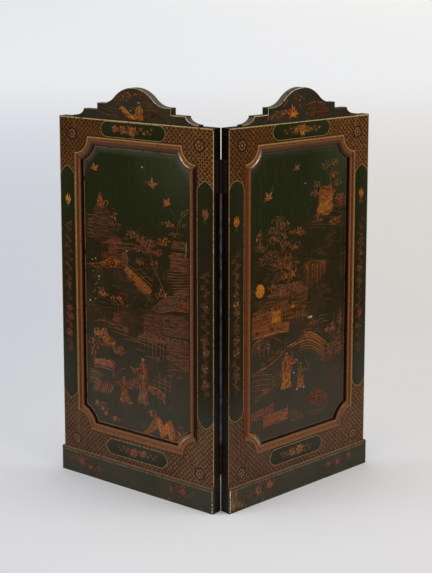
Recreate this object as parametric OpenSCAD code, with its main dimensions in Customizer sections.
// Two-leaf folding screen: framed panels with planted mouldings, shaped crests and plinths.
// Millimetres, +Z up. The origin is on the floor, in the middle of the screen's footprint.
// The leaves stand in a V whose hinge edge points to -Y, with their decorated faces outside.

/* [Leaf] */
// Width of one leaf's frame
leaf_w = 478; // [440:1:560]
// Height of the frame, from the floor to the foot of the crest
frame_h = 905; // [820:1:1100]
// Thickness of the frame
leaf_t = 24; // [23:0.5:28]
// Angle between the backs of the two leaves as the screen stands
fold_angle = 100; // [60:1:150]

/* [Frame] */
// Width of the upright stiles
stile_w = 50; // [46:1:64]
// Height of the top rail
top_rail_h = 45; // [40:1:70]
// Height of the opening's lower edge above the floor
opening_bottom = 122; // [110:1:160]
// Height of the bottom rail's underside above the floor
bottom_rail_lift = 12; // [4:1:30]
// Thickness of the tenons
tenon_t = 7; // [5:0.5:9]
// Length of the tenons
tenon_l = 30; // [20:1:32]
// Shoulder above and below each tenon
tenon_shoulder = 8; // [5:1:12]

/* [Panel] */
// Thickness of the panel board
panel_t = 8; // [5:0.5:9]
// Depth of the panel's face behind the frame's face
panel_depth = 7; // [6:0.5:8]
// Room left round the panel for the board to swell
panel_play = 1; // [0.5:0.1:2]
// Width of the beads that hold the panel from behind
bead_w = 10; // [6:1:16]

/* [Moulding] */
// Width of the moulding
moulding_w = 22; // [20:0.5:30]
// Radius of the hollowed corners at the moulding's outer line
corner_r = 42; // [30:1:55]
// Radius of the thin bead along the outer line
outer_bead_r = 2; // [1.5:0.1:2.5]
// Rise of the outer bead's centre above the panel's face
outer_bead_rise = 6.6; // [6:0.1:7]
// Radius of the hollow
hollow_r = 6; // [5:0.1:7]
// Rise of the hollow's centre above the panel's face
hollow_rise = 9.2; // [8.8:0.1:9.6]
// Radius of the large inner bead
inner_bead_r = 4.6; // [4:0.1:5]
// Rise of the inner bead's centre above the panel's face
inner_bead_rise = 4.2; // [3.8:0.1:4.4]
// Width of the flat at the moulding's inner line
lip_w = 1.6; // [1:0.1:2.4]
// Height of that flat above the panel's face
lip_h = 2.6; // [1.5:0.1:3.4]

/* [Crest] */
// Half the width of the crest at its foot
crest_half = 194; // [185:1:205]
// Height of the upright edge at the crest's toes
toe_h = 4; // [2:0.5:6]
// Half the width between the ends of the low shelves
shelf_half = 158; // [145:1:170]
// Height of the low shelves above the frame
shelf_h = 22; // [14:1:28]
// Half the width between the two steps
step_half = 114; // [108:1:128]
// Height of the top of the steps above the frame
step_h = 38; // [32:1:44]
// Half the width of the bell at its foot
bell_half = 100; // [92:1:104]
// Height of the bell's peak above the frame
crest_h = 79; // [74:1:84]
// Radius of the bell's round top
bell_r = 84; // [78:1:90]
// Thickness of the crest board
crest_t = 18; // [14:0.5:20]
// Distance of the crest's face behind the frame's face
crest_setback = 1.5; // [0.5:0.5:3]
// Radius of the dowels under the crest
dowel_r = 4; // [3:0.5:5]
// Length of those dowels
dowel_l = 36; // [26:1:40]
// Distance from the middle dowel to the outer ones
dowel_spacing = 96; // [90:1:104]

/* [Plinth] */
// Height of the plinth
plinth_h = 62; // [50:1:80]
// Thickness of the plinth's front board
plinth_t = 5; // [4:0.5:8]
// Thickness of the plinth's return on the outer edge
return_t = 4; // [3:0.5:8]
// Radius of the rounded upper front edge
plinth_round = 2.5; // [1:0.5:3.5]

/* [Hinges] */
// Length of each hinge
hinge_l = 76; // [60:1:90]
// Distance from the top of the frame down to the upper hinge
upper_hinge_drop = 72; // [60:1:120]
// Height of the lower hinge's bottom end above the floor
lower_hinge_lift = 89; // [70:1:130]
// Width of the part of each plate that lies on the stile's edge
plate_w = 16; // [13:0.5:17]
// Thickness of the plates
plate_t = 1.2; // [1:0.1:1.5]
// How far the plates stand out of the stile's edge
plate_proud = 0.3; // [0.1:0.05:0.4]
// Outer radius of the knuckles
knuckle_r = 3; // [2.6:0.1:3.3]
// Radius of the hinge pins
pin_r = 1.5; // [1.2:0.1:1.6]
// Distance of the pin's axis behind the leaves' backs
pin_back = 0.6; // [0.5:0.1:1.2]
// Half the gap between the stiles' edges when the screen is opened flat
half_gap = 0.8; // [0.7:0.1:1.2]
// Radius of the round bead that closes the gap between the two hinges
meeting_r = 2.8; // [2.4:0.1:3.2]
// Distance from a plate's end to its outer screws
screw_margin = 13; // [10:1:16]
// Radius of the screws' heads
screw_head_r = 3.2; // [2.6:0.1:3.6]
// Radius of the screws' shanks
screw_r = 1.6; // [1.2:0.1:1.9]
// Length of the screws below their heads
screw_l = 12; // [8:0.5:13]
// Width of the slot in a screw's head
slot_w = 0.7; // [0.5:0.1:1]
// Depth of that slot
slot_d = 0.5; // [0.3:0.1:0.8]

/* [Fits] */
// Play round the tenons, corner blocks and dowels
joint_play = 0.1; // [0.05:0.01:0.2]
// Radial clearance of the hinge pins in the knuckles that turn on them
pin_play = 0.06; // [0.02:0.01:0.1]
// Radial clearance of the pins in the knuckles that hold them, and of the screws in their holes
held_play = 0.02; // [0.01:0.01:0.05]
// Gap between the knuckles or the round bead and the recesses in the stiles' back corners
recess_play = 0.3; // [0.2:0.05:0.5]
// Gap between the ends of neighbouring knuckles
knuckle_play = 0.3; // [0.2:0.05:0.6]

/* [Hidden] */
$fn = 64;
// A cut reaches this far past the face that it goes through
over = 1;

opening_top = frame_h - top_rail_h;
opening_w = leaf_w - 2 * stile_w;
opening_h = opening_top - opening_bottom;
moulding_end = sqrt(pow(corner_r + moulding_w, 2) - pow(moulding_w, 2));
inner_bead_at = moulding_w - lip_w - inner_bead_r;
hollow_at = (2 * outer_bead_r + inner_bead_at - inner_bead_r) / 2;
bead_t = leaf_t - panel_depth - panel_t;
tenon_at = (leaf_t - tenon_t) / 2;
tilt = (180 - fold_angle) / 2;
upper_hinge_z = frame_h - upper_hinge_drop - hinge_l;
knuckles = 5;
knuckle_l = hinge_l / knuckles;
screw_heights = [screw_margin, hinge_l / 2, hinge_l - screw_margin];
dowel_y = crest_setback + crest_t / 2;
dowel_places = [-dowel_spacing, 0, dowel_spacing];
// The axis of the hinge pins in the leaf's own frame, where x runs out from the hinge edge and
// y runs from the decorated face to the back
pin_x = -half_gap;
pin_y = leaf_t + pin_back;
plate_y = pin_y - knuckle_r - recess_play - plate_w;
screw_y = plate_y + plate_w / 2;
tab_l = recess_play + knuckle_r - pin_r - held_play - pin_play;
front_y = half_gap * sin(tilt) - (pin_y + plinth_t) * cos(tilt);
rear_y = (half_gap + leaf_w + return_t) * sin(tilt) - pin_back * cos(tilt);
axis_y = -(front_y + rear_y) / 2;

module place_right() {
    translate([0, axis_y, 0])
    rotate([0, 0, tilt])
    translate([-pin_x, -pin_y, 0])
    children();
}

module place_left() {
    mirror([1, 0, 0])
    place_right()
    children();
}

// What is cut from a stile's edge for a hinge: the plate's seat, the knuckles' recess and the
// screws' holes
module hinge_seat(hinge_z) {
    seat_d = plate_t - plate_proud;
    translate([-over, plate_y - joint_play, hinge_z - joint_play])
    cube([over + seat_d, pin_y - plate_y + joint_play, hinge_l + 2 * joint_play]);
    translate([pin_x, pin_y, hinge_z - joint_play])
    cylinder(r = knuckle_r + recess_play, h = hinge_l + 2 * joint_play);
    for (h = screw_heights)
        translate([-over, screw_y, hinge_z + h])
        rotate([0, 90, 0])
        cylinder(r = screw_r + held_play, h = over + seat_d + screw_l + joint_play);
}

module mortise(from_z, to_z, mouth_x, way) {
    length = tenon_l + joint_play;
    start = way > 0 ? mouth_x - over : mouth_x - length;
    translate([start, tenon_at - joint_play, from_z + tenon_shoulder - joint_play])
    cube([
        length + over,
        tenon_t + 2 * joint_play,
        to_z - from_z - 2 * (tenon_shoulder - joint_play)
    ]);
}

module stile_mortises(mouth_x, way) {
    mortise(opening_top, frame_h, mouth_x, way);
    mortise(bottom_rail_lift, opening_bottom, mouth_x, way);
}

module hinge_stile() {
    color("saddlebrown")
    difference() {
        cube([stile_w, leaf_t, frame_h]);
        stile_mortises(stile_w, -1);
        hinge_seat(upper_hinge_z);
        hinge_seat(lower_hinge_lift);
    }
}

// The left leaf's hinge stile, hollowed between the hinges for the right leaf's round bead
module hollowed_hinge_stile() {
    color("saddlebrown")
    difference() {
        hinge_stile();
        translate([pin_x, pin_y, lower_hinge_lift + hinge_l])
        cylinder(r = meeting_r + recess_play, h = upper_hinge_z - lower_hinge_lift - hinge_l);
    }
}

// The round bead on the pins' axis that fits round the stile's back corner
module meeting_bead() {
    run = upper_hinge_z - lower_hinge_lift - hinge_l - 2 * knuckle_play;
    color("saddlebrown")
    translate([0, 0, lower_hinge_lift + hinge_l + knuckle_play])
    difference() {
        translate([pin_x, pin_y, 0])
        cylinder(r = meeting_r, h = run);
        translate([0, leaf_t - 2 * meeting_r, -over])
        cube([2 * meeting_r, 2 * meeting_r, run + 2 * over]);
    }
}

module outer_stile() {
    color("saddlebrown")
    difference() {
        translate([leaf_w - stile_w, 0, 0])
        cube([stile_w, leaf_t, frame_h]);
        stile_mortises(leaf_w - stile_w, 1);
    }
}

module rail(from_z, to_z) {
    translate([stile_w, 0, from_z])
    cube([opening_w, leaf_t, to_z - from_z]);
    translate([stile_w - tenon_l, tenon_at, from_z + tenon_shoulder])
    cube([opening_w + 2 * tenon_l, tenon_t, to_z - from_z - 2 * tenon_shoulder]);
}

module dowels(play) {
    for (x = dowel_places)
        translate([leaf_w / 2 + x, dowel_y, frame_h - dowel_l / 2 - play])
        cylinder(r = dowel_r + play, h = dowel_l + 2 * play);
}

module top_rail() {
    color("saddlebrown")
    difference() {
        rail(opening_top, frame_h);
        dowels(joint_play);
    }
}

module bottom_rail() {
    color("saddlebrown")
    rail(bottom_rail_lift, opening_bottom);
}

module panel() {
    color("darkslategray")
    translate([stile_w + panel_play, panel_depth, opening_bottom + panel_play])
    cube([opening_w - 2 * panel_play, panel_t, opening_h - 2 * panel_play]);
}

// The moulding's section: x runs inwards from the outer line, y rises from the panel's face
module moulding_section() {
    difference() {
        union() {
            square([inner_bead_at, outer_bead_rise]);
            square([moulding_w, lip_h]);
            translate([outer_bead_r, outer_bead_rise])
            circle(r = outer_bead_r);
            translate([inner_bead_at, inner_bead_rise])
            circle(r = inner_bead_r);
        }
        translate([hollow_at, hollow_rise])
        circle(r = hollow_r - (inner_bead_r + outer_bead_r) / 4);
    }
}

// A straight length: its outer line runs along +x from the opening's corner, and it is cut off
// at both ends to meet the corner pieces
module straight_moulding(length) {
    intersection() {
        translate([0, panel_depth, 0])
        rotate([180, -90, 0])
        linear_extrude(length)
        moulding_section();
        translate([0, panel_depth, 0])
        rotate([90, 0, 0])
        linear_extrude(2 * panel_depth)
        polygon([
            [corner_r, 0],
            [length - corner_r, 0],
            [length - moulding_end, moulding_w],
            [moulding_end, moulding_w]
        ]);
    }
}

// A hollowed corner round the opening's corner, which lies at the origin, in the x, z quarter
module corner_moulding() {
    reach = corner_r + 2 * moulding_w;
    translate([0, panel_depth, 0])
    rotate([90, 0, 0])
    intersection() {
        rotate_extrude(angle = 90)
        translate([corner_r, 0])
        moulding_section();
        linear_extrude(2 * panel_depth)
        polygon([
            [0, 0],
            [corner_r, 0],
            [moulding_end, moulding_w],
            [reach, moulding_w],
            [reach, reach],
            [moulding_w, reach],
            [moulding_w, moulding_end],
            [0, corner_r]
        ]);
    }
}

// Puts a copy of its child, drawn in the x, z quarter, into each corner of the opening
module in_each_corner() {
    for (side = [0, 1])
        for (end = [0, 1])
            translate([stile_w + side * opening_w, 0, opening_bottom + end * opening_h])
            mirror([side, 0, 0])
            mirror([0, 0, end])
            children();
}

module bottom_moulding() {
    color("peru")
    translate([stile_w, 0, opening_bottom])
    straight_moulding(opening_w);
}

module top_moulding() {
    color("peru")
    translate([stile_w, 0, opening_top])
    mirror([0, 0, 1])
    straight_moulding(opening_w);
}

module hinge_side_moulding() {
    color("peru")
    translate([stile_w, 0, opening_bottom])
    mirror([1, 0, 0])
    rotate([0, -90, 0])
    straight_moulding(opening_h);
}

module outer_side_moulding() {
    color("peru")
    translate([leaf_w - stile_w, 0, opening_bottom])
    rotate([0, -90, 0])
    straight_moulding(opening_h);
}

module corner_mouldings() {
    color("peru")
    in_each_corner()
    corner_moulding();
}

module corner_blocks() {
    color("saddlebrown")
    in_each_corner()
    intersection() {
        rotate([-90, 0, 0])
        cylinder(r = corner_r - joint_play, h = panel_depth);
        cube([corner_r, panel_depth, corner_r]);
    }
}

module panel_beads() {
    color("sienna")
    translate([0, panel_depth + panel_t, 0]) {
        for (x = [stile_w, leaf_w - stile_w - bead_w])
            translate([x, 0, opening_bottom])
            cube([bead_w, bead_t, opening_h]);
        for (z = [opening_bottom, opening_top - bead_w])
            translate([stile_w + bead_w + joint_play, 0, z])
            cube([opening_w - 2 * (bead_w + joint_play), bead_t, bead_w]);
    }
}

// Half of the crest's outline, from the middle of its foot out to the toe and back to the peak
foot_r = (pow(bell_half, 2) + pow(crest_h - step_h, 2)) / (2 * (crest_h - step_h)) - bell_r;
turn = asin(bell_half / (bell_r + foot_r));
arc_steps = 12;
crest_edge = [
    [crest_half, 0],
    for (i = [0 : arc_steps])
        let (a = 90 * i / arc_steps)
        [
            shelf_half + (crest_half - shelf_half) * (1 - sin(a)),
            toe_h + (shelf_h - toe_h) * (1 - cos(a))
        ],
    [step_half, shelf_h],
    [step_half, step_h],
    for (i = [0 : arc_steps])
        let (a = turn * i / arc_steps)
        [bell_half - foot_r * sin(a), step_h + foot_r * (1 - cos(a))],
    for (i = [arc_steps - 1 : -1 : 0])
        let (a = turn * i / arc_steps)
        [bell_r * sin(a), crest_h - bell_r * (1 - cos(a))]
];
edge_points = len(crest_edge);

module crest_outline() {
    polygon([
        for (p = crest_edge) p,
        for (i = [edge_points - 2 : -1 : 0]) [-crest_edge[i][0], crest_edge[i][1]]
    ]);
}

module crest() {
    color("darkolivegreen")
    difference() {
        translate([leaf_w / 2, crest_setback + crest_t, frame_h])
        rotate([90, 0, 0])
        linear_extrude(crest_t)
        crest_outline();
        dowels(joint_play);
    }
}

module crest_dowels() {
    color("burlywood")
    dowels(0);
}

module plinth_front() {
    color("darkslategray")
    rotate([90, 0, 90])
    linear_extrude(leaf_w + return_t)
    union() {
        translate([-plinth_t, 0])
        square([plinth_t, plinth_h - plinth_round]);
        translate([plinth_round - plinth_t, 0])
        square([plinth_t - plinth_round, plinth_h]);
        translate([plinth_round - plinth_t, plinth_h - plinth_round])
        circle(r = plinth_round);
    }
}

module plinth_return() {
    color("darkslategray")
    translate([leaf_w, 0, 0])
    cube([return_t, leaf_t, plinth_h]);
}

// A plate with the knuckles whose numbers, counted up from 0, are in the list
module hinge_plate(hinge_z, own_knuckles, bore_play) {
    color("dimgray")
    difference() {
        union() {
            translate([-plate_proud, plate_y, hinge_z])
            cube([plate_t, plate_w, hinge_l]);
            for (k = own_knuckles)
                translate([0, 0, hinge_z + k * knuckle_l + knuckle_play / 2]) {
                    translate([pin_x, pin_y, 0])
                    cylinder(r = knuckle_r, h = knuckle_l - knuckle_play);
                    translate([-plate_proud, plate_y + plate_w - over, 0])
                    cube([plate_t, over + tab_l, knuckle_l - knuckle_play]);
                }
        }
        translate([pin_x, pin_y, hinge_z - over])
        cylinder(r = pin_r + bore_play, h = hinge_l + 2 * over);
        for (h = screw_heights)
            translate([-plate_proud, screw_y, hinge_z + h])
            rotate([0, 90, 0])
            cylinder(r1 = screw_head_r + held_play, r2 = screw_r + held_play, h = plate_t);
    }
}

module screw() {
    rotate([0, 90, 0])
    difference() {
        union() {
            cylinder(r1 = screw_head_r, r2 = screw_r, h = plate_t);
            translate([0, 0, plate_t])
            cylinder(r = screw_r, h = screw_l);
        }
        translate([-slot_w / 2, -screw_head_r - over, -over])
        cube([slot_w, 2 * (screw_head_r + over), over + slot_d]);
    }
}

module hinge_screws() {
    color("gray")
    for (hinge_z = [lower_hinge_lift, upper_hinge_z])
        for (h = screw_heights)
            translate([-plate_proud, screw_y, hinge_z + h])
            screw();
}

module hinge_pin(hinge_z) {
    color("dimgray")
    translate([0, axis_y, hinge_z])
    cylinder(r = pin_r, h = hinge_l);
}

outer_knuckles = [0, 2, 4];
inner_knuckles = [1, 3];

module left_hinge_stile() { place_left() hollowed_hinge_stile(); }
module left_outer_stile() { place_left() outer_stile(); }
module left_top_rail() { place_left() top_rail(); }
module left_bottom_rail() { place_left() bottom_rail(); }
module left_panel() { place_left() panel(); }
module left_hinge_side_moulding() { place_left() hinge_side_moulding(); }
module left_outer_side_moulding() { place_left() outer_side_moulding(); }
module left_top_moulding() { place_left() top_moulding(); }
module left_bottom_moulding() { place_left() bottom_moulding(); }
module left_corner_mouldings() { place_left() corner_mouldings(); }
module left_corner_blocks() { place_left() corner_blocks(); }
module left_panel_beads() { place_left() panel_beads(); }
module left_crest() { place_left() crest(); }
module left_crest_dowels() { place_left() crest_dowels(); }
module left_plinth_front() { place_left() plinth_front(); }
module left_plinth_return() { place_left() plinth_return(); }
module left_upper_hinge_plate() { place_left() hinge_plate(upper_hinge_z, outer_knuckles, held_play); }
module left_lower_hinge_plate() { place_left() hinge_plate(lower_hinge_lift, outer_knuckles, held_play); }
module left_hinge_screws() { place_left() hinge_screws(); }
module right_hinge_stile() { place_right() hinge_stile(); }
module right_outer_stile() { place_right() outer_stile(); }
module right_meeting_bead() { place_right() meeting_bead(); }
module right_top_rail() { place_right() top_rail(); }
module right_bottom_rail() { place_right() bottom_rail(); }
module right_panel() { place_right() panel(); }
module right_hinge_side_moulding() { place_right() hinge_side_moulding(); }
module right_outer_side_moulding() { place_right() outer_side_moulding(); }
module right_top_moulding() { place_right() top_moulding(); }
module right_bottom_moulding() { place_right() bottom_moulding(); }
module right_corner_mouldings() { place_right() corner_mouldings(); }
module right_corner_blocks() { place_right() corner_blocks(); }
module right_panel_beads() { place_right() panel_beads(); }
module right_crest() { place_right() crest(); }
module right_crest_dowels() { place_right() crest_dowels(); }
module right_plinth_front() { place_right() plinth_front(); }
module right_plinth_return() { place_right() plinth_return(); }
module right_upper_hinge_plate() { place_right() hinge_plate(upper_hinge_z, inner_knuckles, pin_play); }
module right_lower_hinge_plate() { place_right() hinge_plate(lower_hinge_lift, inner_knuckles, pin_play); }
module right_hinge_screws() { place_right() hinge_screws(); }
module upper_hinge_pin() { hinge_pin(upper_hinge_z); }
module lower_hinge_pin() { hinge_pin(lower_hinge_lift); }

left_hinge_stile();
left_outer_stile();
left_top_rail();
left_bottom_rail();
left_panel();
left_hinge_side_moulding();
left_outer_side_moulding();
left_top_moulding();
left_bottom_moulding();
left_corner_mouldings();
left_corner_blocks();
left_panel_beads();
left_crest();
left_crest_dowels();
left_plinth_front();
left_plinth_return();
left_upper_hinge_plate();
left_lower_hinge_plate();
left_hinge_screws();
right_hinge_stile();
right_outer_stile();
right_meeting_bead();
right_top_rail();
right_bottom_rail();
right_panel();
right_hinge_side_moulding();
right_outer_side_moulding();
right_top_moulding();
right_bottom_moulding();
right_corner_mouldings();
right_corner_blocks();
right_panel_beads();
right_crest();
right_crest_dowels();
right_plinth_front();
right_plinth_return();
right_upper_hinge_plate();
right_lower_hinge_plate();
right_hinge_screws();
upper_hinge_pin();
lower_hinge_pin();
